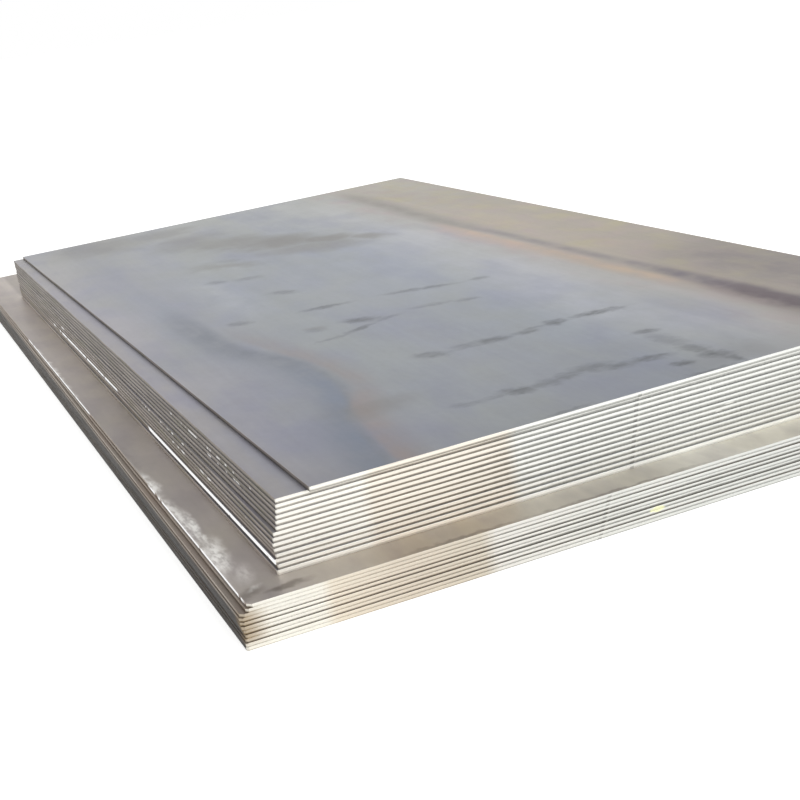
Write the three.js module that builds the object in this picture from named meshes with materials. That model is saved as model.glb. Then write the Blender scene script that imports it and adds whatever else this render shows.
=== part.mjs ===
import * as THREE from 'three';

// A stack of hot-rolled steel plate: a pack of thicker, smaller plates lies on a
// pack of thinner, larger ones, near its front left corner, so that a ledge of the
// lower pack stays bare all round. Millimetres. X runs across the plates, Y along
// the rolling direction, Z is up.

const airGap = 0.2; // scale and burrs hold two plates this far apart

// How far the upper pack is set in from the lower pack's left and front edges
const ledgeLeft = 79;
const ledgeFront = 64;

// A shear leaves a rounded drag at the top, a burnished land under it, and a
// fracture that breaks back to the lower face. The ends are cut by a guillotine,
// the long edges by the slitting line, whose round knives drag the steel more.
const dragSteps = 4;
const blade = {
  endDrag: 0.5, // how far the drag runs in over the top face, at the ends
  sideDrag: 0.9, // the same at the long edges
  endBreak: 0.9, // how far the fracture runs in under the plate, at the ends
  sideBreak: 0.5, // the same at the long edges
};

// Each row places one plate, from the lowest up:
// [sideways slip of its front end, sideways slip of its back end, how far it
// sticks out in front, size of the blunted corner at the front left]
const lowerPack = {
  name: 'lower_plate',
  width: 1500,
  length: 3000,
  thickness: 6,
  dragDepth: 0.6,
  landDepth: 2.9,
  scale: { color: 0x8b8886, roughness: 0.6, metalness: 0.75 },
  plates: [
    [-6, 5, 0, 3],
    [-6, 5, 1, 2],
    [-5, 6, 0, 2],
    [-4, 6, 0.5, 2],
    [-5, 7, 0, 3],
    [-7, 7, 1, 4],
    [-7.5, 8, 0.5, 5],
    [-7.5, 8, 0, 5],
    [-6, 9, 1, 6],
    [3, 9, 0, 4],
    [6, 10, 0.5, 7],
  ],
};

const upperPack = {
  name: 'upper_plate',
  width: 1250,
  length: 2500,
  thickness: 8,
  dragDepth: 0.7,
  landDepth: 3.8,
  scale: { color: 0x96999e, roughness: 0.55, metalness: 0.75 },
  plates: [
    [-7.5, 0, 1, 2],
    [-5, 1, 0.5, 1.5],
    [-8, 0, 0, 1.5],
    [-5.5, -1, 1, 1.5],
    [-6, 0, 0, 1.5],
    [-6.5, 1, 0.5, 1.5],
    [-5, 0, 0, 1.5],
    [-3.5, 0, 1, 1.5],
    [1.5, -1, 0.5, 1.5],
    [3, 0, 0, 1.5],
    [4, 1, 1, 1.5],
    [5.5, 0, 0, 1.5],
    [6.5, 0, 0.5, 1.5],
    [7.5, 0, 0, 1.5],
    [56, 27, 7, 1.5], // the top plate was laid askew
  ],
};
const bluntCorner = 1.5; // at the three other corners of every plate

// The section of a plate's edge, from the lower face up. Each step gives its
// height and how far the end and the long side stand in from the full size.
function edgeSection(pack) {
  const landTop = pack.thickness - pack.dragDepth;
  const section = [
    { height: 0, end: blade.endBreak, side: blade.sideBreak },
    { height: landTop - pack.landDepth, end: 0, side: 0 },
  ];
  for (let step = 0; step <= dragSteps; step++) {
    const turn = (step / dragSteps) * (Math.PI / 2);
    section.push({
      height: landTop + pack.dragDepth * Math.sin(turn),
      end: blade.endDrag * (1 - Math.cos(turn)),
      side: blade.sideDrag * (1 - Math.cos(turn)),
    });
  }
  return section;
}

// A plate's outline at one step of the section, counter-clockwise from the
// front left corner, with each corner blunted
function outline(pack, step, frontLeft) {
  const x = pack.width / 2 - step.side;
  const y = pack.length / 2 - step.end;
  return [
    [-x, -y + frontLeft],
    [-x + frontLeft, -y],
    [x - bluntCorner, -y],
    [x, -y + bluntCorner],
    [x, y - bluntCorner],
    [x - bluntCorner, y],
    [-x + bluntCorner, y],
    [-x, y - bluntCorner],
  ].map(([across, along]) => new THREE.Vector3(across, along, step.height));
}

// Skins a closed body over outlines that all have the same number of points
function loft(outlines) {
  const count = outlines[0].length;
  const last = (outlines.length - 1) * count;
  const faces = [];
  for (let layer = 0; layer < outlines.length - 1; layer++) {
    for (let point = 0; point < count; point++) {
      const low = layer * count;
      const next = (point + 1) % count;
      const high = low + count;
      faces.push(low + point, low + next, high + next);
      faces.push(low + point, high + next, high + point);
    }
  }
  for (const [a, b, c] of THREE.ShapeUtils.triangulateShape(outlines[0], [])) {
    faces.push(c, b, a);
    faces.push(last + a, last + b, last + c);
  }
  const geometry = new THREE.BufferGeometry().setFromPoints(outlines.flat());
  geometry.setIndex(faces);
  geometry.computeVertexNormals();
  return geometry;
}

function plateMesh(pack, row, index) {
  const [frontSlip, backSlip, overhang, frontLeft] = row;
  const section = edgeSection(pack);
  const geometry = loft(section.map((step) => outline(pack, step, frontLeft)));
  const mesh = new THREE.Mesh(geometry, new THREE.MeshStandardMaterial(pack.scale));
  mesh.name = `${pack.name}_${String(index + 1).padStart(2, '0')}`;
  // The plate is turned about its middle, where its slip is the mean of both ends
  mesh.rotation.z = Math.atan2(frontSlip - backSlip, pack.length);
  mesh.position.set(
    pack.width / 2 + (frontSlip + backSlip) / 2,
    pack.length / 2 - overhang,
    index * (pack.thickness + airGap),
  );
  return mesh;
}

function packGroup(pack) {
  const group = new THREE.Group();
  pack.plates.forEach((row, index) => group.add(plateMesh(pack, row, index)));
  return group;
}

const lower = packGroup(lowerPack);
const upper = packGroup(upperPack);
upper.position.set(
  ledgeLeft,
  ledgeFront,
  lowerPack.plates.length * (lowerPack.thickness + airGap),
);

// The origin is on the floor, under the middle of the whole stack
const stack = new THREE.Group();
stack.add(lower, upper);
const extent = new THREE.Box3().setFromObject(stack, true);
const middle = extent.getCenter(new THREE.Vector3());
stack.position.set(-middle.x, -middle.y, 0);

export default stack;
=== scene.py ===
import math

import bpy
from mathutils import Matrix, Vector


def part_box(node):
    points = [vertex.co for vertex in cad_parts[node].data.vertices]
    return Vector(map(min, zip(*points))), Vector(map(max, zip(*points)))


# A stack of hot-rolled steel plate: fifteen 8 mm plates on eleven wider, thinner ones.
# The CAD nodes are the whole shape, so all that is made here is their steel, the floor,
# the light and the camera. Lengths in the settings are millimetres.
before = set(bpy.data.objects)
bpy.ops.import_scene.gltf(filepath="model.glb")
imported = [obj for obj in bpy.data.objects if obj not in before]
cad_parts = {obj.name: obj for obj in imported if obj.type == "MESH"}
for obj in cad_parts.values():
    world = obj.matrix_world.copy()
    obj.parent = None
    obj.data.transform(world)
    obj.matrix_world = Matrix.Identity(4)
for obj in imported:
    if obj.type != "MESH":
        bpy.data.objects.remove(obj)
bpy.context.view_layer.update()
bpy.ops.object.select_all(action="DESELECT")
mm = 0.001
print("frame: %d plates" % len(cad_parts))


def toLinear(hexColour):
    # an sRGB hex colour as the linear numbers that a shader wants
    parts = [int(hexColour[i:i + 2], 16) / 255 for i in (1, 3, 5)]
    return [p / 12.92 if p <= 0.04045 else ((p + 0.055) / 1.055) ** 2.4 for p in parts] + [1.0]


def addNode(tree, kind, inputs, out=0, **fields):
    # adds one node, fills or links its inputs, and gives the output asked for. Inputs go by
    # their place: MapRange reads 0 from 1 to 2 and gives 3 to 4, and Mix blends by 0 from 2
    # to 3 for plain values and from 6 to 7 for colours
    node = tree.nodes.new("ShaderNode" + kind)
    for field, value in fields.items():
        setattr(node, field, value)
    for key, source in inputs.items():
        socket = node.inputs[key]
        if isinstance(source, bpy.types.NodeSocket):
            tree.links.new(source, socket)
        else:
            socket.default_value = source
    return node.outputs[out]


def newTree(name):
    material = bpy.data.materials.new(name)
    material.use_nodes = True
    material.node_tree.nodes.clear()
    return material, material.node_tree


# The marks on the steel are placed from a point near the middle of the upper pack's foot
datumShift = (-11.0, -28.4)
low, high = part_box("upper_plate_01")
datum = (
    (low.x + high.x) / 2 / mm + datumShift[0],
    (low.y + high.y) / 2 / mm + datumShift[1],
    0.0,
)


def packOf(prefix):
    # where a pack's plates lie, read from the frame in millimetres
    low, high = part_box(prefix + "_01")
    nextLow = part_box(prefix + "_02")[0]
    return {
        "bottom": low.z / mm,
        "thickness": (high.z - low.z) / mm,
        "pitch": (nextLow.z - low.z) / mm,
        "count": len([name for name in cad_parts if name.startswith(prefix)]),
    }


packs = {"upper": packOf("upper_plate"), "lower": packOf("lower_plate")}


# How far a face's normal has to lean, from where it starts to count until it counts in full
faceLean = {"left": (-0.3, -0.6), "flat": (0.8, 0.97), "end": (0.35, 0.65)}


def startPlace(tree):
    # the place on the plate in millimetres, and which way the surface faces
    position = addNode(tree, "TexCoord", {}, "Object")
    at = addNode(
        tree, "VectorMath", {0: position, 1: [1 / mm] * 3, 2: [-d for d in datum]},
        operation="MULTIPLY_ADD")
    x, y, z = addNode(tree, "SeparateXYZ", {0: at}).node.outputs
    normal = addNode(tree, "NewGeometry", {}, "Normal")
    sideways, endways, upwards = addNode(tree, "SeparateXYZ", {0: normal}).node.outputs
    endways = addNode(tree, "Math", {0: endways}, operation="ABSOLUTE")
    place = {"at": at, "x": x, "y": y, "z": z}
    for name, part in (("left", sideways), ("flat", upwards), ("end", endways)):
        start, full = faceLean[name]
        place[name] = addNode(tree, "MapRange", {0: part, 1: start, 2: full})
    return place


noiseSpan = (0.3, 0.7)   # nearly all of a noise lies between these
wideSpan = (0.25, 0.75)   # and all of it, near enough, between these


def stretchedNoise(tree, place, lengths, detail=2.0, offset=0.0, out=0):
    # noise whose lumps are that many millimetres long in X, Y and Z
    scaled = addNode(
        tree, "VectorMath",
        {0: place["at"], 1: [1 / length for length in lengths], 2: [offset] * 3},
        operation="MULTIPLY_ADD",
    )
    return addNode(tree, "TexNoise", {"Vector": scaled, "Scale": 1.0, "Detail": detail}, out)


def window(tree, value, first, last, soft):
    # 1 between the two values, falling to 0 over the soft length at both ends
    rise = addNode(
        tree, "MapRange", {0: value, 1: first - soft, 2: first + soft},
        interpolation_type="SMOOTHSTEP")
    fall = addNode(
        tree, "MapRange", {0: value, 1: last + soft, 2: last - soft},
        interpolation_type="SMOOTHSTEP")
    return addNode(tree, "Math", {0: rise, 1: fall}, operation="MULTIPLY")


def curveThrough(tree, along, points):
    # a smooth value along one direction through the points, which are (millimetres, value)
    start, stop = points[0][0], points[-1][0]
    values = [value for _, value in points]
    low, high = min(values), max(values) + 1e-3   # the sliver keeps a level curve from a zero range
    share = addNode(tree, "MapRange", {0: along, 1: start, 2: stop})
    curve = addNode(tree, "FloatCurve", {1: share})
    line = curve.node.mapping.curves[0]
    for where, value in points[1:-1]:
        line.points.new((where - start) / (stop - start), (value - low) / (high - low))
    line.points[0].location = (0.0, (points[0][1] - low) / (high - low))
    line.points[-1].location = (1.0, (points[-1][1] - low) / (high - low))
    curve.node.mapping.update()
    return addNode(tree, "MapRange", {0: curve, 3: low, 4: high})


def tintsAlong(tree, along, tints):
    # a colour along one direction through the tints, which are (millimetres, hex colour)
    start, stop = tints[0][0], tints[-1][0]
    share = addNode(tree, "MapRange", {0: along, 1: start, 2: stop})
    ramp = addNode(tree, "ValToRGB", {0: share})
    stops = ramp.node.color_ramp.elements
    stops[0].color, stops[1].color = toLinear(tints[0][1]), toLinear(tints[-1][1])
    for where, tint in tints[1:-1]:
        stops.new((where - start) / (stop - start)).color = toLinear(tint)
    return ramp


def bandMask(tree, along, across, band):
    # the band's strength along a soft line, falling to 0 over its own width on either side
    # and at its ends
    middle = curveThrough(tree, along, band["points"])
    away = addNode(tree, "Math", {0: across, 1: middle}, operation="SUBTRACT")
    before, after = band["width"]
    rise = addNode(
        tree, "MapRange", {0: away, 1: -before, 2: 0.0}, interpolation_type="SMOOTHSTEP")
    fall = addNode(
        tree, "MapRange", {0: away, 1: after, 2: 0.0}, interpolation_type="SMOOTHSTEP")
    mask = addNode(tree, "Math", {0: rise, 1: fall}, operation="MULTIPLY")
    ends = sorted(point[0] for point in (band["points"][0], band["points"][-1]))
    reach = window(tree, along, ends[0], ends[1], band["fade"])
    mask = addNode(tree, "Math", {0: mask, 1: reach}, operation="MULTIPLY")
    return addNode(tree, "Math", {0: mask, 1: band["strength"]}, operation="MULTIPLY")


ovalRim = (1.25, 0.2)   # an oval fades in from here to here, in shares of its half size
ovalPush = 4   # a noise mostly keeps within a quarter of its middle


def ovalMask(tree, place, ovals, lump=40.0, reach=0.0):
    # the strongest of soft ovals, each (x, y, half length, half width, turn in degrees,
    # strength); their rims wander by about the reach, in lumps that long
    push = stretchedNoise(tree, place, (lump, lump, lump), detail=2.0, offset=11.3, out=1)
    push = addNode(
        tree, "VectorMath",
        {0: push, 1: [ovalPush * reach] * 3, 2: [-ovalPush / 2 * reach] * 3},
        operation="MULTIPLY_ADD")
    moved = addNode(tree, "VectorMath", {0: place["at"], 1: push}, operation="ADD")
    strongest = 0.0
    for x, y, halfLength, halfWidth, turn, strength in ovals:
        c, s = math.cos(math.radians(turn)), math.sin(math.radians(turn))
        along, across = (c / halfLength, s / halfLength, 0), (-s / halfWidth, c / halfWidth, 0)
        first, second = [
            addNode(tree, "VectorMath", {0: moved, 1: axis}, "Value", operation="DOT_PRODUCT")
            for axis in (along, across)]
        inside = addNode(tree, "CombineXYZ", {0: first, 1: second})
        middle = [x * axis[0] + y * axis[1] for axis in (along, across)] + [0]
        away = addNode(tree, "VectorMath", {0: inside, 1: middle}, "Value", operation="DISTANCE")
        spot = addNode(
            tree, "MapRange", {0: away, 1: ovalRim[0], 2: ovalRim[1], 4: strength},
            interpolation_type="SMOOTHSTEP")
        strongest = addNode(tree, "Math", {0: strongest, 1: spot}, operation="MAXIMUM")
    return strongest


# Rolled faces. Hot rolling leaves a thin skin of blue-grey oxide, mill scale, which
# looks like dull satin, with long strips of slightly different tint the way the plate
# was rolled, cloudy tints where it cooled unevenly, and the grey marks of dried water.
# "zones" are tints across the plate, whose borders wander by "wander", and "tones" are
# its brightness along Y. A cloud's "lump" is its size across and along, and it keeps
# "within" these two X. A band runs through its points (Y, X), with its own width on
# either side, and fades over "fade" at its ends. A mark is a group of ovals, whose rims
# wander by "reach" in lumps of "lump", and "mottle" is how patchy it is.
# The top plate has the most: dark and straw-coloured heat bands, and dried water.
topFace = {
    "zones": [
        (-600, "#aaa7ab"), (-440, "#999ba5"), (-230, "#9fa4aa"), (-60, "#9a9fa8"),
        (120, "#a1a7b0"), (280, "#b6b8bd"), (360, "#b6b3b1"), (425, "#aaa29b"),
        (480, "#b2a89b"), (695, "#a79f92"),
    ],
    "wander": 14,
    "clouds": [
        {"colour": "#888ca6", "strength": 0.46, "lump": (120, 260), "within": (-700, 380)},
        {"colour": "#a1a49d", "strength": 0.36, "lump": (110, 230), "within": (-700, 400)},
        {"colour": "#bcb289", "strength": 0.5, "lump": (80, 130), "within": (440, 800)},
        {"colour": "#b3a1a2", "strength": 0.5, "lump": (62, 100), "within": (330, 800)},
    ],
    "farTint": {"colour": "#c0c0b7", "strength": 0.5, "from": 300, "to": 1250},
    # painted sheen: darker toward the near end and paler toward the far end, where the view grazes
    # the plate and it mirrors more sky
    "tones": [
        (-1250, 0.70), (-1000, 0.80), (-750, 0.86), (-300, 0.925), (200, 0.97), (700, 0.925),
        (1270, 0.93),
    ],
    "paintedLight": None,
    "bands": [
        {"width": (50, 56), "fade": 160, "colour": "#938e87", "strength": 0.95,
         "points": [(1120, 419), (950, 420), (695, 418), (440, 416), (200, 428)]},
        {"width": (28, 27), "fade": 120, "colour": "#857f81", "strength": 0.8,
         "points": [(220, 426), (150, 434), (-36, 441), (-274, 447), (-495, 457), (-720, 466)]},
        {"width": (45, 37), "fade": 150, "colour": "#6a616d", "strength": 1.1,
         "points": [(-560, 460), (-714, 464), (-900, 472), (-1300, 474)]},
        {"width": (74, 39), "fade": 170, "colour": "#503b46", "strength": 1.5,
         "points": [(-800, 470), (-980, 474), (-1300, 474), (-1700, 474)]},
        {"width": (48, 26), "fade": 150, "colour": "#c5ad92", "strength": 0.75,
         "points": [(300, 392), (120, 396), (-240, 408), (-420, 414), (-700, 424)]},
        {"width": (52, 34), "fade": 150, "colour": "#bfa6a2", "strength": 0.55,
         "points": [(340, 384), (160, 376), (20, 384), (-160, 390)]},
        {"width": (190, 500), "fade": 180, "colour": "#8d8584", "strength": 0.95,
         "points": [(-430, 600), (-1700, 600)]},
        {"width": (120, 24), "fade": 190, "colour": "#8c939f", "strength": 0.55,
         "points": [(300, -430), (-136, -419), (-361, -419), (-512, -379), (-646, -354),
                    (-763, -350), (-880, -370), (-996, -405), (-1148, -428), (-1290, -446),
                    (-1600, -480)]},
        {"width": (70, 38), "fade": 170, "colour": "#6f757e", "strength": 0.68,
         "points": [(0, -428), (-361, -417), (-512, -377), (-646, -352), (-763, -348),
                    (-880, -368), (-996, -403), (-1148, -426), (-1290, -444), (-1600, -478)]},
        {"width": (20, 58), "fade": 160, "colour": "#978c87", "strength": 0.55,
         "points": [(-300, -380), (-512, -342), (-646, -318), (-763, -314),
                    (-880, -332), (-996, -366), (-1148, -388), (-1290, -404), (-1600, -436)]},
        {"width": (60, 16), "fade": 90, "colour": "#7f8ca4", "strength": 0.5,
         "points": [(-640, -356), (-763, -352), (-880, -372), (-996, -407), (-1148, -430),
                    (-1290, -448), (-1600, -480)]},
        {"width": (14, 50), "fade": 70, "colour": "#a08f8b", "strength": 0.6,
         "points": [(-880, -346), (-996, -380), (-1148, -400), (-1290, -416),
                    (-1600, -450)]},
        {"width": (90, 60), "fade": 220, "colour": "#989aa6", "strength": 0.4,
         "points": [(1100, -430), (500, -440), (150, -432)]},
        {"width": (110, 80), "fade": 150, "colour": "#c6cad2", "strength": 0.32,
         "points": [(-380, 215), (-900, 240)]},
        {"width": (80, 80), "fade": 110, "colour": "#bcc1c6", "strength": 0.3,
         "points": [(320, -288), (-160, -288)]},
    ],
    "marks": [
        {"colour": "#7e7b76", "lump": 90, "reach": 30, "mottle": None, "ovals": [
            (-90, 760, 250, 110, -52, 0.58), (20, 630, 185, 120, -48, 0.76),
            (110, 525, 125, 68, -45, 0.74), (215, 442, 78, 42, -50, 0.68),
            (-190, 460, 125, 42, -38, 0.44), (-240, -384, 37, 24, -52, 0.3),
            (-370, 1150, 170, 190, -8, 0.6), (-150, 950, 110, 140, 0, 0.52),
            (-200, 1130, 130, 120, 0, 0.5), (75, 455, 180, 90, -30, 0.56),
            (230, -1190, 130, 60, 0, 0.24), (-350, -965, 85, 60, -20, 0.42)]},
        {"colour": "#5b5f64", "lump": 16, "reach": 6,
         "mottle": {"lump": (26, 16), "least": 0.6}, "ovals": [
            (-155, -225, 62, 18, -9, 0.72), (50, -263, 97, 17, -19, 0.65),
            (180, -294, 28, 18, -10, 0.5), (-236, -492, 50, 11, 6, 0.36),
            (-143, -404, 49, 26, -37, 0.8), (-174, -467, 49, 12, 25, 0.74),
            (-101, -435, 44, 13, 14, 0.45), (6, -417, 53, 17, -15, 0.4),
            (77, -444, 30, 18, -15, 0.58), (-149, -763, 40, 24, -40, 0.62),
            (-60, -773, 98, 12, -3, 0.34), (-77, -758, 32, 19, -7, 0.45),
            (-29, -768, 43, 24, -10, 0.74), (49, -762, 66, 12, 8, 0.5),
            (40, -771, 28, 19, -16, 0.68), (107, -757, 27, 25, -24, 0.84),
            (186, -766, 84, 12, -6, 0.24), (200, -762, 66, 20, -9, 0.9),
            (-226, -1072, 41, 15, -16, 0.36), (-172, -1073, 34, 10, 4, 0.4),
            (-138, -1074, 36, 23, -32, 0.84), (-89, -1076, 39, 20, 1, 0.64),
            (-80, -1076, 28, 27, -38, 0.62), (-42, -1067, 41, 25, 14, 0.56),
            (8, -1056, 46, 26, -2, 0.6), (3, -1076, 18, 14, -38, 0.5),
            (43, -1084, 40, 22, -20, 0.66), (100, -1090, 50, 18, -11, 0.74),
            (187, -949, 30, 17, -22, 0.64), (181, -1025, 78, 26, -88, 0.34),
            (180, -1096, 36, 21, -68, 0.66), (184, -1127, 34, 15, -76, 0.6),
            (186, -1155, 34, 22, -52, 0.85), (194, -1180, 24, 12, -80, 0.5),
            (196, -1200, 32, 11, -86, 0.66), (123, -1157, 26, 15, -20, 0.84),
            (113, -1226, 30, 11, -18, 0.5), (-259, 273, 34, 26, -34, 0.44),
            (-173, 2, 45, 26, -47, 0.5), (-341, -195, 34, 22, -34, 0.5),
            (-245, -399, 28, 20, -61, 0.3), (-160, 509, 45, 26, -40, 0.24),
            (-184, 239, 44, 24, -20, 0.36), (-128, -1222, 50, 7, 2, 0.45),
            (132, -1222, 48, 8, 2, 0.55)]},
    ],
}

# The lower pack's top plate shows as a ledge, weathered to a warmer grey, with pale scraped
# patches along its left edge that are painted up to white as glints
ledgeFace = {
    "zones": [
        (-694, "#9c9491"), (-605, "#9e9792"), (-540, "#aaa196"), (-450, "#9d9284"),
        (-340, "#a49988"), (-230, "#b1aa9e"), (-60, "#b1ab9f"), (0, "#b6b1a6"),
        (70, "#cfcbc0"), (135, "#d2cec3"), (210, "#ccc7ba"), (700, "#cfc7b8"),
    ],
    "wander": 12,
    "clouds": [
        {"colour": "#857d80", "strength": 0.4, "lump": (60, 160), "within": (-720, 720)},
        {"colour": "#a9a294", "strength": 0.4, "lump": (80, 120), "within": (-720, 720)},
    ],
    "farTint": {"colour": "#a39a94", "strength": 0.4, "from": 0, "to": 900},
    "tones": [(-1300, 1.0), (-1240, 1.0), (-450, 0.96), (0, 1.04), (500, 1.13), (1500, 1.13)],
    # painted light: the ledge is made paler beside the foot of the upper pack, where that pack
    # shades it
    "paintedLight": {"x": (-694, -624), "gain": (1.02, 1.4), "y": (-1270, -1185), "edge": (10, 20)},
    "bands": [],
    "marks": [
        {"colour": "#5f564f", "lump": 20, "reach": 6, "mottle": None, "ovals": [
            (-616, -1259, 40, 12, 3, 0.8), (-676, -1252, 36, 17, 30, 0.62),
            (-640, -1190, 50, 16, 75, 0.1), (-682, -520, 110, 12, 90, 0.3),
            (-350, -1279, 110, 9, 0, 0.6), (-90, -1281, 190, 7, 0, 0.55)]},
        # painted highlight: pale scraped patches, painted near white as the glints on them
        {"colour": "#f2f0ec", "lump": 48, "reach": 5,
         "mottle": {"lump": (7, 22), "least": 0.3}, "ovals": [
            (-693, -870, 350, 25, 90, 1.0), (-690, -1090, 120, 19, 89, 1.0),
            (-682, -910, 150, 14, 89, 0.9), (-670, -1085, 85, 21, 84, 0.95),
            (-657, -1180, 48, 18, 80, 0.3), (-692, 300, 430, 16, 90, 1.0),
            (-657, -1235, 18, 8, 40, 0.4), (-686, -700, 110, 18, 90, 1.0),
            (-668, -955, 105, 10, 90, 1.0)]},
    ],
}

# Of the upper pack's other plates only a strip shows beside the top one
hiddenFace = {
    "zones": [
        (-694, "#a5a09e"), (-600, "#a29fa4"), (-560, "#9f9fa9"), (0, "#a2a6ab"), (695, "#b1a89e"),
    ],
    "wander": 20,
    "clouds": [
        {"colour": "#8f8da2", "strength": 0.4, "lump": (40, 200), "within": (-700, 700)},
        {"colour": "#aaa59f", "strength": 0.4, "lump": (40, 160), "within": (-700, 700)},
    ],
    "farTint": {"colour": "#b4b2ae", "strength": 0.4, "from": 200, "to": 1250},
    "tones": [(-1300, 0.78), (-1000, 0.83), (-400, 0.93), (0, 0.95), (1500, 1.0)],
    "paintedLight": None,
    "bands": [],
    "marks": [],
}

# The lower pack's other plates stay damp near the ground and have browned
rustyFace = {
    "zones": [(-694, "#82776c"), (-560, "#7f766f"), (700, "#9c9083")],
    "wander": 20,
    "clouds": [
        {"colour": "#927468", "strength": 0.4, "lump": (90, 240), "within": (-800, 800)},
        {"colour": "#7f7a68", "strength": 0.5, "lump": (90, 240), "within": (-800, 800)},
    ],
    "farTint": {"colour": "#94877f", "strength": 0.3, "from": 200, "to": 1250},
    "tones": [(-1300, 0.74), (-1180, 0.88), (-1000, 0.95), (1500, 1.0)],
    "paintedLight": None,
    "bands": [],
    "marks": [],
}


# What all rolled faces share. A pattern is its lumps in X, Y and Z, its detail and how far
# it is shifted, so that no two are alike, and "change" is how much it darkens and lightens.
# "cloudShift" is the first cloud's shift and what each next one adds.
millScale = {
    "drift": ((260, 900, 400), 2.0, 3.1),   # a slow change of tint across the sheet
    "patchy": ((50, 80, 80), 3.0, 7.9),     # scale came away unevenly
    "streak": ((14, 900, 50), 3.0, 1.3),    # the rolls' faint streaks
    "fleck": ((9, 22, 9), 3.0, 8.8),        # flaked scale, drawn coarser than its 2 mm
    "wave": ((420, 700, 400), 1.0, 6.1),    # plates are never dead flat
    "mottle": (30, 3.0, 2.2),                # height, detail and shift of a mark's patches
    "change": {"streak": 0.02, "fleck": 0.02, "patchy": 0.03},
    "cloudHeight": 300, "cloudDetail": 3.0, "cloudShift": (5.7, 4.3), "cloudSpan": (0.44, 0.7),
    "cloudSoft": 30, "cover": (0.45, 1.0), "coverSpan": (0.32, 0.62), "mottleSpan": (0.34, 0.6),
    "roughness": (0.42, 0.5), "metal": 0.45, "waveHeight": 1.0, "fleckHeight": 0.04,
}


def faceTints(tree, place, face, patchy):
    # what comes over a rolled face's own colour, in this order, each as how much of which tint
    far = face["farTint"]
    amount = addNode(tree, "MapRange", {
        0: place["y"], 1: far["from"], 2: far["to"], 4: far["strength"]})
    tints = [(amount, far["colour"])]

    first, each = millScale["cloudShift"]
    low, high = millScale["cloudSpan"]
    for number, cloud in enumerate(face["clouds"]):
        lengths = (*cloud["lump"], millScale["cloudHeight"])
        shift = first + each * number
        lumps = stretchedNoise(tree, place, lengths, millScale["cloudDetail"], shift)
        amount = addNode(tree, "MapRange", {0: lumps, 1: low, 2: high, 4: cloud["strength"]})
        inside = window(tree, place["x"], *cloud["within"], millScale["cloudSoft"])
        amount = addNode(tree, "Math", {0: amount, 1: inside}, operation="MULTIPLY")
        tints.append((amount, cloud["colour"]))

    low, high = millScale["coverSpan"]
    least, most = millScale["cover"]
    cover = addNode(tree, "MapRange", {0: patchy, 1: low, 2: high, 3: least, 4: most})
    for band in face["bands"]:
        amount = bandMask(tree, place["y"], place["x"], band)
        amount = addNode(tree, "Math", {0: amount, 1: cover}, operation="MULTIPLY")
        tints.append((amount, band["colour"]))

    low, high = millScale["mottleSpan"]
    thick, detail, shift = millScale["mottle"]
    for mark in face["marks"]:
        amount = ovalMask(tree, place, mark["ovals"], mark["lump"], mark["reach"])
        mottle = mark["mottle"]
        if mottle:
            breaks = stretchedNoise(tree, place, (*mottle["lump"], thick), detail, shift)
            whole = addNode(tree, "MapRange", {
                0: breaks, 1: low, 2: high, 3: mottle["least"], 4: 1.0})
            amount = addNode(tree, "Math", {0: amount, 1: whole}, operation="MULTIPLY")
        tints.append((amount, mark["colour"]))
    return tints


def faceTone(tree, place, face, patchy, fleck):
    # how bright a rolled face is
    tone = curveThrough(tree, place["y"], face["tones"])
    streak = stretchedNoise(tree, place, *millScale["streak"])
    low, high = noiseSpan
    for name, lumps in (("streak", streak), ("fleck", fleck), ("patchy", patchy)):
        change = millScale["change"][name]
        own = addNode(tree, "MapRange", {
            0: lumps, 1: low, 2: high, 3: 1 - change, 4: 1 + change})
        tone = addNode(tree, "Math", {0: tone, 1: own}, operation="MULTIPLY")
    paintedLight = face["paintedLight"]   # painted light: the plate is made paler close to the pack that stands on it, where that pack's shade falls
    if paintedLight:
        outer, inner = paintedLight["x"]
        less, more = paintedLight["gain"]
        near, away = paintedLight["edge"]
        gain = addNode(tree, "MapRange", {
            0: place["x"], 1: outer, 2: inner, 3: less, 4: more})
        behind = addNode(tree, "MapRange", {0: place["y"], 1: paintedLight["y"][0], 2: paintedLight["y"][1]})
        beside = addNode(tree, "MapRange", {0: place["x"], 1: inner + away, 2: inner + near})
        behind = addNode(tree, "Math", {0: behind, 1: beside}, operation="MULTIPLY")
        own = addNode(tree, "Mix", {0: behind, 2: 1.0, 3: gain})
        tone = addNode(tree, "Math", {0: tone, 1: own}, operation="MULTIPLY")
    return tone


def rolledFace(tree, place, face):
    # colour, roughness, metal and height in millimetres of a face as it left the rolls
    drift = stretchedNoise(tree, place, *millScale["drift"])
    patchy = stretchedNoise(tree, place, *millScale["patchy"])
    fleck = stretchedNoise(tree, place, *millScale["fleck"])
    low, high = wideSpan
    wander = addNode(tree, "MapRange", {
        0: drift, 1: low, 2: high, 3: -face["wander"], 4: face["wander"]})
    across = addNode(tree, "Math", {0: place["x"], 1: wander}, operation="ADD")
    colour = tintsAlong(tree, across, face["zones"])
    for amount, tint in faceTints(tree, place, face, patchy):
        colour = addNode(
            tree, "Mix", {0: amount, 6: colour, 7: toLinear(tint)}, 2, data_type="RGBA")
    tone = faceTone(tree, place, face, patchy, fleck)
    colour = addNode(tree, "VectorMath", {0: colour, "Scale": tone}, operation="SCALE")

    low, high = noiseSpan
    smooth, rough = millScale["roughness"]
    roughness = addNode(tree, "MapRange", {0: drift, 1: low, 2: high, 3: smooth, 4: rough})
    thick = millScale["fleckHeight"]
    height = addNode(tree, "MapRange", {0: fleck, 3: -thick, 4: thick})
    wave = stretchedNoise(tree, place, *millScale["wave"])
    height = addNode(
        tree, "Math", {0: wave, 1: millScale["waveHeight"], 2: height}, operation="MULTIPLY_ADD")
    return {"colour": colour, "roughness": roughness, "metal": millScale["metal"], "height": height}
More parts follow.
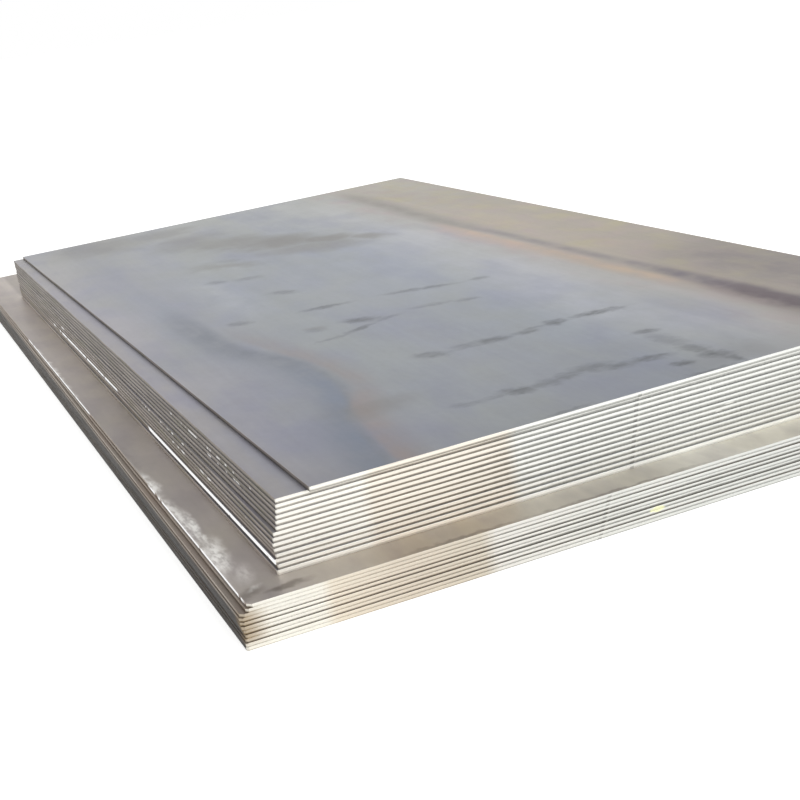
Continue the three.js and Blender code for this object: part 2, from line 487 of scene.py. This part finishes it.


# Sheared edges. The knife first burnishes the steel into a bright land, then the rest
# tears away as a dull grainy fracture, so each plate reads as a white line over a grey
# one. The slit long edges are older and browned, and their tints are also kept darker
# than the ends' as painted shade, for the side that faces away from the light. Land and
# fracture are tints along X, and "share" is how much of the thickness the fracture takes
# there. "deep" is its tone at the foot, a painted shade into the joint below, "worn" that
# of the land where it is dullest, "step" a dark line between the two, "soft" how far they
# run into each other, and "drag" the tone of the rolled-over top, a painted shade by the
# joint above.
# "joints" gives, from the lowest plate up, how deep and dark the fracture at the foot of
# each plate is, so how much painted shade each joint gets, and "foot" the long edges'
# tone over the pack's height, as painted light that keeps their foot paler. Each rub and
# painted glint has a "z", its place in the height of its plate, 0 to 1, and the higher
# "broken" is, the less of it is left. Chips and the daub are (x, z, half length, half height).
upperEdges = {
    "end": {
        "land": [(-620, "#f9f6ee"), (-476, "#faf8f1"), (-456, "#f6efe3"), (-240, "#f1eadf"),
                 (-220, "#f4f4f0"), (150, "#f2f3ef"), (640, "#eaebe6")],
        "fracture": [(-620, "#c3beb5"), (-476, "#c3beb5"), (-456, "#aea496"), (-240, "#a0998d"),
                     (-220, "#b4b5b0"), (150, "#bfc0bc"), (640, "#bfc0bc")],
        "share": [(-625, 0.42), (-540, 0.42), (-430, 0.4), (-240, 0.55), (-200, 0.57), (0, 0.62),
                  (650, 0.65)],
        "deep": 0.66, "worn": 0.92, "step": 0.0, "soft": 0.11, "drag": 0.74,
    },
    # painted shade: these long-edge tints are darker than the ends', partly for browning and partly
    # as painted shade
    "side": {
        "land": [(-700, "#a9a098"), (700, "#a9a098")],
        "fracture": [(-700, "#6f665e"), (700, "#6f665e")],
        "share": [(-700, 0.5), (700, 0.5)],
        "deep": 0.36, "worn": 0.66, "step": 0.35, "soft": 0.07, "drag": 1.0,
    },
    "joints": [
        0.0, 0.95, 0.85, 0.95, 0.9, 0.95, 0.85, 0.95, 0.95, 0.85, 0.9, 0.8, 0.85, 0.85, 0.7,
    ],
    # painted light: the upper pack's long edges are made paler toward its foot, where the ledge
    # leaves them in shade
    "foot": {"z": (72, 150), "gain": (1.5, 0.94)},
    "groundShade": None,
    "rust": ("#77755c", 0.45),
    "corner": None,
    # painted highlight: the first four are rubbed bare metal painted white where it glints, the
    # last four are painted glints alone
    "rubsAndGlints": [
        {"plate": 4, "y": (-140, 565), "z": (0.3, 1.0), "broken": 0.36, "strength": 1.0},
        {"plate": 4, "y": (625, 660), "z": (0.4, 1.0), "broken": 0.1, "strength": 0.7},
        {"plate": 6, "y": (495, 530), "z": (0.3, 0.9), "broken": 0.1, "strength": 0.7},
        {"plate": 3, "y": (-1300, -430), "z": (-0.1, 1.1), "broken": 0.25, "strength": 1.0},
        {"plate": 12, "y": (-1120, -620), "z": (0.4, 0.85), "broken": 0.575, "strength": 0.65},
        {"plate": 11, "y": (-1080, -860), "z": (0.1, 0.5), "broken": 0.56, "strength": 0.6},
        {"plate": 8, "y": (-760, -400), "z": (0.35, 0.8), "broken": 0.55, "strength": 0.65},
        {"plate": 6, "y": (-1090, -590), "z": (0.55, 1.0), "broken": 0.58, "strength": 0.6},
    ],
    "nick": {"top": -2, "bottom": -26, "topZ": 191, "bottomZ": 68},
    "chips": [
        (160, 128.6, 11, 1.8), (138, 120.4, 7, 1.6), (127, 162.5, 2.5, 4.0), (64, 189.0, 2, 3.0),
    ],
    "daub": None,
}

lowerEdges = {
    "end": {
        "land": [(-700, "#f0ece2"), (-640, "#f2efe6"), (-576, "#f1eee4"), (-560, "#e8dfcf"),
                 (-450, "#dbd1c2"), (-325, "#d7cfc0"), (-300, "#e8e5df"), (-100, "#e3e3de"),
                 (150, "#e0e1dd"), (760, "#dadbd7")],
        "fracture": [(-700, "#ab9d84"), (-665, "#cfc8b8"), (-640, "#e2dfd7"), (-576, "#dfdbd2"),
                     (-560, "#cbbfae"), (-450, "#b1a595"), (-325, "#9b9080"), (-300, "#9a9992"),
                     (150, "#969792"), (760, "#969792")],
        "share": [(-760, 0.41), (-580, 0.42), (-540, 0.45), (-300, 0.54), (-100, 0.64),
                  (760, 0.64)],
        "deep": 0.68, "worn": 0.9, "step": 0.0, "soft": 0.11, "drag": 0.86,
    },
    # painted shade: these long-edge tints are darker than the ends', partly for browning and partly
    # as painted shade
    "side": {
        "land": [(-760, "#beb2a6"), (760, "#beb2a6")],
        "fracture": [(-760, "#7b6f64"), (760, "#7b6f64")],
        "share": [(-760, 0.45), (760, 0.45)],
        "deep": 0.45, "worn": 0.7, "step": 0.3, "soft": 0.07, "drag": 1.0,
    },
    "joints": [0.3, 0.5, 0.5, 0.65, 1.0, 0.5, 0.8, 0.75, 0.4, 0.55, 0.35],
    "foot": {"z": (40, 60), "gain": (1.0, 1.0)},
    # painted shade: the lower pack's long edges darken to near black below this height
    "groundShade": {"tint": "#231f1c", "z": (43, 53), "strength": 0.95},
    "rust": ("#937c6c", 0.5),
    "corner": {
        "tint": "#8f7448", "oval": (-696, -1290, 37, 37, 0, 0.66), "z": (12, 58), "soft": 8,
    },
    # painted highlight: the ledge plate's rubbed left edge, painted white where its rolled-over top
    # catches the light
    "rubsAndGlints": [
        {"plate": 11, "y": (-150, 690), "z": (0.1, 1.2), "broken": 0.25, "strength": 1.0},
        {"plate": 11, "y": (-1264, -690), "z": (0.12, 1.2), "broken": 0.34, "strength": 1.0},
    ],
    "nick": {"top": -104, "bottom": -130, "topZ": 68, "bottomZ": 0},
    "chips": [],
    "daub": {
        "tint": "#f0f1c6", "place": (-28, 19.7, 15, 4.6), "rim": (1.5, 1.25), "strength": 0.9,
    },
}


# What all edges share. A pattern is given as for the mill scale, and heights on an edge are
# shares of the plate's thickness, from its lower face up
shear = {
    "climb": ((60, 60, 5), 2.0, 0.4),       # how far the fracture climbs
    "patch": ((150, 150, 5), 2.0, 7.5),     # where the edge is duller
    "score": ((4, 4, 60), 2.0, 4.4),        # knife scores, drawn coarser than 1 mm
    "brown": ((120, 160, 14), 3.0, 9.9),    # rust on the long edges
    "chatter": ((26, 26, 30), 1.0, 3.7),    # what rubbed an edge skipped along it
    "ragged": ((9, 9, 3), 3.0, 6.6),        # the rim of the paint
    "climbHeight": 0.07, "grain": (0.9, 1.1), "scoreHeight": 0.1,   # the last is in mm
    "leastFoot": 0.35,         # a fracture's height where the joint is palest, in shares
    "rise": (0.1, 0.8),        # where its tone goes from "deep" to full
    "faint": (0.9, 0.95),      # below this joint the fracture takes on the land's tint
    "stepReach": 0.12, "dragHeight": (0.78, 0.98),   # the dark line, and the rolled-over top that takes a painted shade
    "patchSpan": (0.32, 0.68), "brownSpan": (0.5, 0.68),
    # painted highlight: the rubs and glints are tinted pure white
    "rubAndGlintTint": "#ffffff", "rubAndGlintEnds": 12, "rubAndGlintRim": (0.05, 0.08), "rubAndGlintBreak": 0.06,
    "nickHeight": (0.62, 0.5),
    "nick": [(3.0, 2.0, "#eceae4", 0.2), (-3.0, 3.5, "#5b5852", 0.34)],   # a lit and a dark side
    "chip": {"tint": "#f6f6f2", "rim": (1.0, 0.6), "strength": 0.65},
    "roughness": (0.42, 0.55), "rubAndGlintRoughness": 0.25, "metal": (0.8, 1.0),
}


def offOval(tree, place, x, z, halfLength, halfHeight):
    # how far off the middle of an upright oval on the front edges, 1 on its rim
    scaled = addNode(
        tree, "VectorMath",
        {0: place["at"], 1: (1 / halfLength, 0, 1 / halfHeight),
         2: (-x / halfLength, 0, -z / halfHeight)},
        operation="MULTIPLY_ADD")
    return addNode(tree, "VectorMath", {0: scaled}, "Value", operation="LENGTH")


def inPack(tree, place, pack, joints):
    # the plate's number, from 0, the height on its edge and how deep its joint is
    level = addNode(
        tree, "MapRange",
        {0: place["z"], 1: pack["bottom"], 2: pack["bottom"] + pack["pitch"], 3: 0.0, 4: 1.0},
        clamp=False)
    number = addNode(tree, "Math", {0: level}, operation="FLOOR")
    up = addNode(tree, "Math", {0: level}, operation="FRACT")
    up = addNode(tree, "Math", {0: up, 1: pack["pitch"] / pack["thickness"]}, operation="MULTIPLY")
    order = addNode(tree, "Math", {0: number, 1: 0.5}, operation="ADD")   # a plate's middle
    order = addNode(tree, "Math", {0: order, 1: pack["count"]}, operation="DIVIDE")
    joint = addNode(tree, "ValToRGB", {0: order})
    joint.node.color_ramp.interpolation = "CONSTANT"
    stops = joint.node.color_ramp.elements
    stops.remove(stops[1])
    for plate, value in enumerate(joints):
        stop = stops[0] if plate == 0 else stops.new(plate / pack["count"])
        stop.color = (value, value, value, 1.0)
    return number, up, joint


def cutLook(tree, place, cut, joint, height, patch, grain):
    # the colour of one kind of cut, its land over its fracture
    share = curveThrough(tree, place["x"], cut["share"])
    foot = addNode(tree, "MapRange", {0: joint, 3: shear["leastFoot"], 4: 1.0})
    foot = addNode(tree, "Math", {0: foot, 1: share}, operation="MULTIPLY")
    low, high = shear["patchSpan"]
    worn = addNode(tree, "MapRange", {0: patch, 1: low, 2: high, 3: 1.0, 4: cut["worn"]})
    land = tintsAlong(tree, place["x"], cut["land"])
    land = addNode(tree, "VectorMath", {0: land, "Scale": worn}, operation="SCALE")

    # painted shade: the fracture darkens to "deep" toward its foot, into the joint with the plate
    # below, as much as "joints" gives for each plate
    low, high = shear["rise"]
    rise = addNode(tree, "Math", {0: height, 1: foot}, operation="DIVIDE")
    rise = addNode(tree, "MapRange", {0: rise, 1: low, 2: high, 3: cut["deep"], 4: 1.0})
    rise = addNode(tree, "Math", {0: rise, 1: grain}, operation="MULTIPLY")
    torn = tintsAlong(tree, place["x"], cut["fracture"])
    torn = addNode(tree, "VectorMath", {0: torn, "Scale": rise}, operation="SCALE")
    below, most = shear["faint"]
    faint = addNode(tree, "MapRange", {0: joint, 1: 0.0, 2: below, 3: most, 4: 0.0})
    torn = addNode(tree, "Mix", {0: faint, 6: torn, 7: land}, 2, data_type="RGBA")

    over = addNode(tree, "Math", {0: height, 1: foot}, operation="SUBTRACT")
    split = addNode(
        tree, "MapRange", {0: over, 1: -cut["soft"], 2: cut["soft"]},
        interpolation_type="SMOOTHSTEP")
    look = addNode(tree, "Mix", {0: split, 6: torn, 7: land}, 2, data_type="RGBA")
    away = addNode(tree, "Math", {0: over}, operation="ABSOLUTE")
    step = addNode(tree, "MapRange", {
        0: away, 1: shear["stepReach"], 2: 0.0, 3: 1.0, 4: 1 - cut["step"]})
    # painted shade: the rolled-over top darkens to "drag" by the joint with the plate above
    low, high = shear["dragHeight"]
    drag = addNode(tree, "MapRange", {0: height, 1: low, 2: high, 3: 1.0, 4: cut["drag"]})
    step = addNode(tree, "Math", {0: step, 1: drag}, operation="MULTIPLY")
    return addNode(tree, "VectorMath", {0: look, "Scale": step}, operation="SCALE")


def shadeAndRustTints(tree, place, edge, notEnd):
    # painted shade low on a pack's long edges, and rust at its corner, each as how much of which
    # tint
    tints = []
    groundShade = edge["groundShade"]   # painted shade: the long edges go nearly black toward the ground
    if groundShade:
        amount = addNode(tree, "MapRange", {
            0: place["z"], 1: groundShade["z"][1], 2: groundShade["z"][0], 4: groundShade["strength"]})
        amount = addNode(tree, "Math", {0: amount, 1: notEnd}, operation="MULTIPLY")
        tints.append((amount, groundShade["tint"]))
    corner = edge["corner"]   # rust water that ran down at the front left corner
    if corner:
        amount = ovalMask(tree, place, [corner["oval"]])
        wet = window(tree, place["z"], *corner["z"], corner["soft"])
        amount = addNode(tree, "Math", {0: amount, 1: wet}, operation="MULTIPLY")
        tints.append((amount, corner["tint"]))
    return tints


def rubsAndPaintedGlints(tree, place, number, height, rubsAndGlints):
    # 1 on the left edges where a sling or a fork rubbed them back to bare metal, which is painted
    # white as a highlight, and at painted glints
    chatter = stretchedNoise(tree, place, *shear["chatter"])
    less, more = shear["rubAndGlintRim"]
    gloss = 0.0
    for rubAndGlint in rubsAndGlints:
        own = addNode(tree, "Math", {0: number, 1: rubAndGlint["plate"] - 1, 2: 0.5}, operation="COMPARE")
        reach = window(tree, place["y"], *rubAndGlint["y"], shear["rubAndGlintEnds"])
        foot, head = rubAndGlint["z"]
        below = addNode(tree, "MapRange", {0: height, 1: foot - less, 2: foot + more})
        above = addNode(tree, "MapRange", {0: height, 1: head + more, 2: head - less})
        whole = addNode(tree, "MapRange", {
            0: chatter, 1: rubAndGlint["broken"], 2: rubAndGlint["broken"] + shear["rubAndGlintBreak"],
            4: rubAndGlint["strength"]})
        for part in (reach, below, above, place["left"], whole):
            own = addNode(tree, "Math", {0: own, 1: part}, operation="MULTIPLY")
        gloss = addNode(tree, "Math", {0: gloss, 1: own}, operation="MAXIMUM")
    return gloss


def frontTints(tree, place, edge, height):
    # the marks on the front edges, each as how much of which tint
    tints = []
    nick = edge["nick"]   # a notch in the knife leaves the same nick on every plate of the pack
    slant = addNode(tree, "MapRange", {
        0: place["z"], 1: nick["bottomZ"], 2: nick["topZ"], 3: nick["bottom"], 4: nick["top"]})
    away = addNode(tree, "Math", {0: place["x"], 1: slant}, operation="SUBTRACT")
    none, full = shear["nickHeight"]
    lowPart = addNode(tree, "MapRange", {0: height, 1: none, 2: full})
    lowPart = addNode(tree, "Math", {0: lowPart, 1: place["end"]}, operation="MULTIPLY")
    for beside, halfWidth, tint, strength in shear["nick"]:
        hit = addNode(tree, "Math", {0: away, 1: beside, 2: halfWidth}, operation="COMPARE")
        hit = addNode(tree, "Math", {0: hit, 1: lowPart}, operation="MULTIPLY")
        hit = addNode(tree, "Math", {0: hit, 1: strength}, operation="MULTIPLY")
        tints.append((hit, tint))
    chip = shear["chip"]   # bright chips knocked out of the edge
    rim, inside = chip["rim"]
    for oval in edge["chips"]:
        away = offOval(tree, place, *oval)
        amount = addNode(tree, "MapRange", {0: away, 1: rim, 2: inside, 4: chip["strength"]})
        amount = addNode(tree, "Math", {0: amount, 1: place["end"]}, operation="MULTIPLY")
        tints.append((amount, chip["tint"]))
    daub = edge["daub"]   # a dab of marking paint with a ragged rim
    if daub:
        away = offOval(tree, place, *daub["place"])
        ragged = stretchedNoise(tree, place, *shear["ragged"])
        ragged = addNode(tree, "Math", {0: ragged, 1: away}, operation="ADD")
        rim, inside = daub["rim"]
        amount = addNode(tree, "MapRange", {0: ragged, 1: rim, 2: inside, 4: daub["strength"]})
        amount = addNode(tree, "Math", {0: amount, 1: place["end"]}, operation="MULTIPLY")
        tints.append((amount, daub["tint"]))
    return tints


def shearedEdge(tree, place, pack, edge):
    # colour, roughness, metal and height in millimetres of the cut edges of a pack, and how
    # far they lean upwards
    number, up, joint = inPack(tree, place, pack, edge["joints"])
    run = stretchedNoise(tree, place, *shear["climb"])
    most = shear["climbHeight"]
    climb = addNode(tree, "MapRange", {
        0: run, 1: wideSpan[0], 2: wideSpan[1], 3: -most, 4: most})
    height = addNode(tree, "Math", {0: up, 1: climb}, operation="SUBTRACT")
    patch = stretchedNoise(tree, place, *shear["patch"])
    score = stretchedNoise(tree, place, *shear["score"])
    low, high = noiseSpan
    less, more = shear["grain"]
    grain = addNode(tree, "MapRange", {0: score, 1: low, 2: high, 3: less, 4: more})
    side, end = [
        cutLook(tree, place, edge[name], joint, height, patch, grain) for name in ("side", "end")]
    colour = addNode(tree, "Mix", {0: place["end"], 6: side, 7: end}, 2, data_type="RGBA")

    notEnd = addNode(tree, "Math", {0: 1.0, 1: place["end"]}, operation="SUBTRACT")
    tint, strength = edge["rust"]   # browned patches on the long edges
    rust = stretchedNoise(tree, place, *shear["brown"])
    none, full = shear["brownSpan"]
    amount = addNode(tree, "MapRange", {0: rust, 1: none, 2: full, 4: strength})
    amount = addNode(tree, "Math", {0: amount, 1: notEnd}, operation="MULTIPLY")
    colour = addNode(
        tree, "Mix", {0: amount, 6: colour, 7: toLinear(tint)}, 2, data_type="RGBA")
    footLight = edge["foot"]   # painted light: the long edges are made paler toward the foot of the pack, where the ledge leaves them in shade
    gain = addNode(tree, "MapRange", {
        0: place["z"], 1: footLight["z"][0], 2: footLight["z"][1], 3: footLight["gain"][0], 4: footLight["gain"][1]})
    gain = addNode(tree, "Mix", {0: place["end"], 2: gain, 3: 1.0})
    colour = addNode(tree, "VectorMath", {0: colour, "Scale": gain}, operation="SCALE")

    gloss = rubsAndPaintedGlints(tree, place, number, height, edge["rubsAndGlints"])
    tints = shadeAndRustTints(tree, place, edge, notEnd)
    tints.append((gloss, shear["rubAndGlintTint"]))
    tints += frontTints(tree, place, edge, height)
    for amount, tint in tints:
        colour = addNode(
            tree, "Mix", {0: amount, 6: colour, 7: toLinear(tint)}, 2, data_type="RGBA")

    smooth, rough = shear["roughness"]
    dull = addNode(tree, "MapRange", {0: patch, 1: low, 2: high, 3: smooth, 4: rough})
    roughness = addNode(tree, "Mix", {0: gloss, 2: dull, 3: shear["rubAndGlintRoughness"]})
    usual, rubbed = shear["metal"]
    metal = addNode(tree, "MapRange", {0: gloss, 3: usual, 4: rubbed})
    deep = shear["scoreHeight"]
    bump = addNode(tree, "MapRange", {0: score, 3: -deep, 4: deep})
    tip = addNode(tree, "CombineXYZ", {2: gloss})   # at the rubs and painted glints the normal tilts up, as on a rounded edge, and catches the sky
    return {"colour": colour, "roughness": roughness, "metal": metal, "height": bump, "tip": tip}


def steelMaterial(face, pack, edge, name):
    # steel whose flat faces are as rolled and whose edges are as cut
    material, tree = newTree(name)
    place = startPlace(tree)
    rolled = rolledFace(tree, place, face)
    cut = shearedEdge(tree, place, pack, edge)
    mask = place["flat"]
    colour = addNode(
        tree, "Mix", {0: mask, 6: cut["colour"], 7: rolled["colour"]}, 2, data_type="RGBA")
    roughness = addNode(tree, "Mix", {0: mask, 2: cut["roughness"], 3: rolled["roughness"]})
    metal = addNode(tree, "Mix", {0: mask, 2: cut["metal"], 3: rolled["metal"]})
    height = addNode(tree, "Mix", {0: mask, 2: cut["height"], 3: rolled["height"]})
    bump = addNode(tree, "Bump", {"Height": height, "Distance": mm, "Strength": 1.0})
    bump = addNode(tree, "VectorMath", {0: bump, 1: cut["tip"]}, operation="ADD")
    bump = addNode(tree, "VectorMath", {0: bump}, operation="NORMALIZE")
    shader = addNode(tree, "BsdfPrincipled", {
        "Base Color": colour, "Roughness": roughness, "Normal": bump, "Metallic": metal})
    tree.links.new(shader, tree.nodes.new("ShaderNodeOutputMaterial").inputs[0])
    return material


top = steelMaterial(topFace, packs["upper"], upperEdges, "hotRolledTopPlate")
upper = steelMaterial(hiddenFace, packs["upper"], upperEdges, "hotRolledUpperPack")
ledge = steelMaterial(ledgeFace, packs["lower"], lowerEdges, "hotRolledLedgePlate")
lower = steelMaterial(rustyFace, packs["lower"], lowerEdges, "hotRolledLowerPack")
special = {"upper_plate_15": top, "lower_plate_11": ledge}
for name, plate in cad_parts.items():
    usual = upper if name.startswith("upper") else lower
    plate.material_slots[0].material = special.get(name, usual)
print("steel: 4 materials")


# A plain pale floor and a soft studio light. The floor shows white to the camera, much
# the same in reflections, and still takes the stack's shadow. Both are in metres.
floor = {
    "size": 60.0, "cuts": 4, "z": -0.0005, "colour": "#f4f4f2", "roughness": 0.9,
    "cameraGlow": 0.62, "mirrorGlow": 0.24,
}
bpy.ops.mesh.primitive_grid_add(
    x_subdivisions=floor["cuts"], y_subdivisions=floor["cuts"], size=floor["size"],
    location=(0, 0, floor["z"]))
ground = bpy.context.object
ground.name = "studio_floor"
bpy.ops.object.transform_apply(location=True, rotation=True, scale=True)
material, tree = newTree("paleStudioFloor")
ray = addNode(tree, "LightPath", {}).node.outputs
mirrored = addNode(
    tree, "Math", {0: ray["Is Glossy Ray"], 1: ray["Is Transmission Ray"]}, operation="MAXIMUM")
glow = addNode(tree, "MapRange", {0: mirrored, 4: floor["mirrorGlow"]})
seen = addNode(tree, "MapRange", {0: ray["Is Camera Ray"], 4: floor["cameraGlow"]})
glow = addNode(tree, "Math", {0: glow, 1: seen}, operation="ADD")
shader = addNode(tree, "BsdfPrincipled", {
    "Base Color": toLinear(floor["colour"]), "Roughness": floor["roughness"],
    "Specular IOR Level": 0.0, "Emission Color": (1, 1, 1, 1), "Emission Strength": glow})
tree.links.new(shader, tree.nodes.new("ShaderNodeOutputMaterial").inputs[0])
ground.data.materials.append(material)

light = {"ambient": 0.68, "key": 620.0, "keySize": 7.0, "keyAt": (3.55, -10.6, 4.26)}
world = bpy.data.worlds.new("paleStudio")
bpy.context.scene.world = world
world.use_nodes = True
world.node_tree.nodes.clear()
tree = world.node_tree
ray = addNode(tree, "LightPath", {}).node.outputs
seen = addNode(
    tree, "Math", {0: ray["Is Camera Ray"], 1: ray["Is Glossy Ray"]}, operation="MAXIMUM")
seen = addNode(tree, "Math", {0: seen, 1: ray["Is Transmission Ray"]}, operation="MAXIMUM")
strength = addNode(tree, "MapRange", {0: seen, 3: light["ambient"], 4: 1.0})
shader = addNode(tree, "Background", {0: (1, 1, 1, 1), 1: strength})
tree.links.new(shader, tree.nodes.new("ShaderNodeOutputWorld").inputs[0])

bpy.ops.object.light_add(type="AREA", location=light["keyAt"])
key = bpy.context.object
key.name = "key_softbox"
key.data.energy = light["key"]
key.data.size = light["keySize"]
key.rotation_euler = (-key.location).to_track_quat("-Z", "Y").to_euler()

# The camera stands at the front left, in millimetres from the datum and degrees. Its
# focal length is in pixels of a frame that is "pixels" wide.
shot = {
    "at": (-1068.3, -3006.9, 870.9), "yaw": 20.66, "down": 17.31, "roll": -8.53,
    "focalPixels": 1397.2, "pixels": 800, "sensor": 36.0, "farthest": 200,
}
bpy.ops.object.camera_add()
camera = bpy.context.object
turn = Matrix.Rotation(math.radians(-shot["yaw"]), 4, "Z")
tip = Matrix.Rotation(math.radians(90 - shot["down"]), 4, "X")
roll = Matrix.Rotation(math.radians(shot["roll"]), 4, "Z")
stand = Matrix.Translation([(a + d) * mm for a, d in zip(shot["at"], datum)])
camera.matrix_world = stand @ turn @ tip @ roll
camera.data.sensor_width = shot["sensor"]
camera.data.lens = shot["focalPixels"] / shot["pixels"] * shot["sensor"]
camera.data.clip_end = shot["farthest"]
bpy.context.scene.camera = camera
bpy.context.scene.view_settings.view_transform = "Standard"
print("studio and camera ready")
